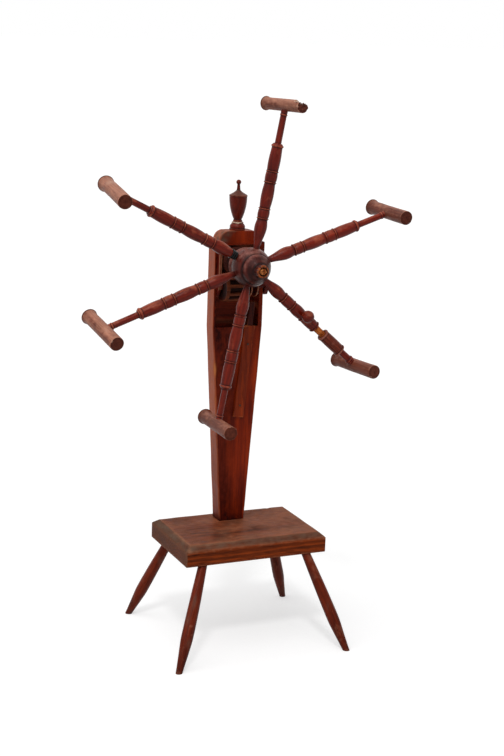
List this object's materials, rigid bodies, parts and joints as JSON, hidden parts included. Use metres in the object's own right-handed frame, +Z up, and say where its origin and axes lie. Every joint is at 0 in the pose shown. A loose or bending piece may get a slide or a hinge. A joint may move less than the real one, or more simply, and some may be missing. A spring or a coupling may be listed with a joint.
{
  "type": "clock reel yarn winder",
  "caption": "Wooden clock reel: turned arms with crossbars on a worm axle that drives a counting wheel, on a post and four-legged plank.",
  "frame": {"origin": "middle of the bounding box's bottom face, on the floor under the plank", "axes": "+Z up, +X along the plank to the right seen from the front, -Y to the front, where the reel's hub faces"},
  "size_m": [0.586, 0.3188, 1.0159],
  "materials": {
    "post_stain": "worn red-brown stain, satin",
    "plank_stain": "worn red-brown stain with dusty edges, satin",
    "leg_stain": "dark red-brown stain, satin",
    "arm_stain": "red-brown stain, satin",
    "hub_stain": "purplish brown stain, dusty satin",
    "bar_stain": "rubbed red-brown stain, matt",
    "works_wood": "unstained hardwood, darkened by handling",
    "bare_wood": "bare split wood",
    "black_band": "black wrapping, glossy",
    "nail_iron": "dark forged iron"
  },
  "bodies": {
    "stand": {"base_plank": "plank_stain", "leg_front_left": "leg_stain", "leg_front_right": "leg_stain", "leg_back_left": "leg_stain", "leg_back_right": "leg_stain", "post": "post_stain", "rear_bearing_block": "post_stain", "bracket_left": "post_stain", "bracket_right": "post_stain", "slat": "post_stain", "slat_nail_lower": "nail_iron", "slat_nail_upper": "nail_iron", "finial_cushion": "post_stain", "finial_urn": "arm_stain"},
    "reel": {"reel_axle": "works_wood", "axle_peg": "bare_wood", "axle_wedge": "bare_wood", "hub": "hub_stain", "crank_arm_inner": "arm_stain", "crank_knob": "arm_stain", "knuckle_pin": "nail_iron", "mending_band": "black_band", "arm_top": "arm_stain", "arm_right": "arm_stain", "arm_bottom": "arm_stain", "arm_lower_left": "arm_stain", "arm_upper_left": "arm_stain", "crossbar_top": "bar_stain", "crossbar_right": "bar_stain", "crossbar_bottom": "bar_stain", "crossbar_lower_left": "bar_stain", "crossbar_upper_left": "bar_stain"},
    "counting_wheel": {"count_wheel": "works_wood", "wheel_arbor": "works_wood", "trip_pin": "bare_wood"},
    "crank_tip": {"crank_arm_outer": "arm_stain", "crossbar_crank": "bar_stain"},
    "sleeve": {"locking_sleeve": "arm_stain"},
    "finger": {"click_finger": "works_wood"}
  },
  "joints": [
    {"name": "reel_spin", "type": "hinge", "parent": "stand", "child": "reel", "pos_m": [0.00205, -0.04403, 0.714], "axis": [0, 1, 0], "continuous": true},
    {"name": "counting_wheel_spin", "type": "hinge", "parent": "stand", "child": "counting_wheel", "pos_m": [0.01255, 0.02797, 0.6665], "axis": [1, 0, 0], "continuous": true},
    {"name": "crank_fold", "type": "hinge", "parent": "reel", "child": "crank_tip", "pos_m": [0.14523, -0.04086, 0.5891], "axis": [-0.0482, 0.9973, -0.0552], "range_deg": [-80, 80]},
    {"name": "sleeve_slide", "type": "slide", "parent": "crank_tip", "child": "sleeve", "axis": [0.7536, 0, -0.6574], "range_m": [0, 0.018]},
    {"name": "finger_flex", "type": "hinge", "parent": "stand", "child": "finger", "pos_m": [0.03581, 0.02912, 0.59285], "axis": [-0.9949, 0, 0.1011], "range_deg": [0, 12], "stiffness_Nm_per_rad": 0.8}
  ],
  "couplings": [
    {"joint": "counting_wheel_spin", "follows": "reel_spin", "ratio": 0.1}
  ]
}
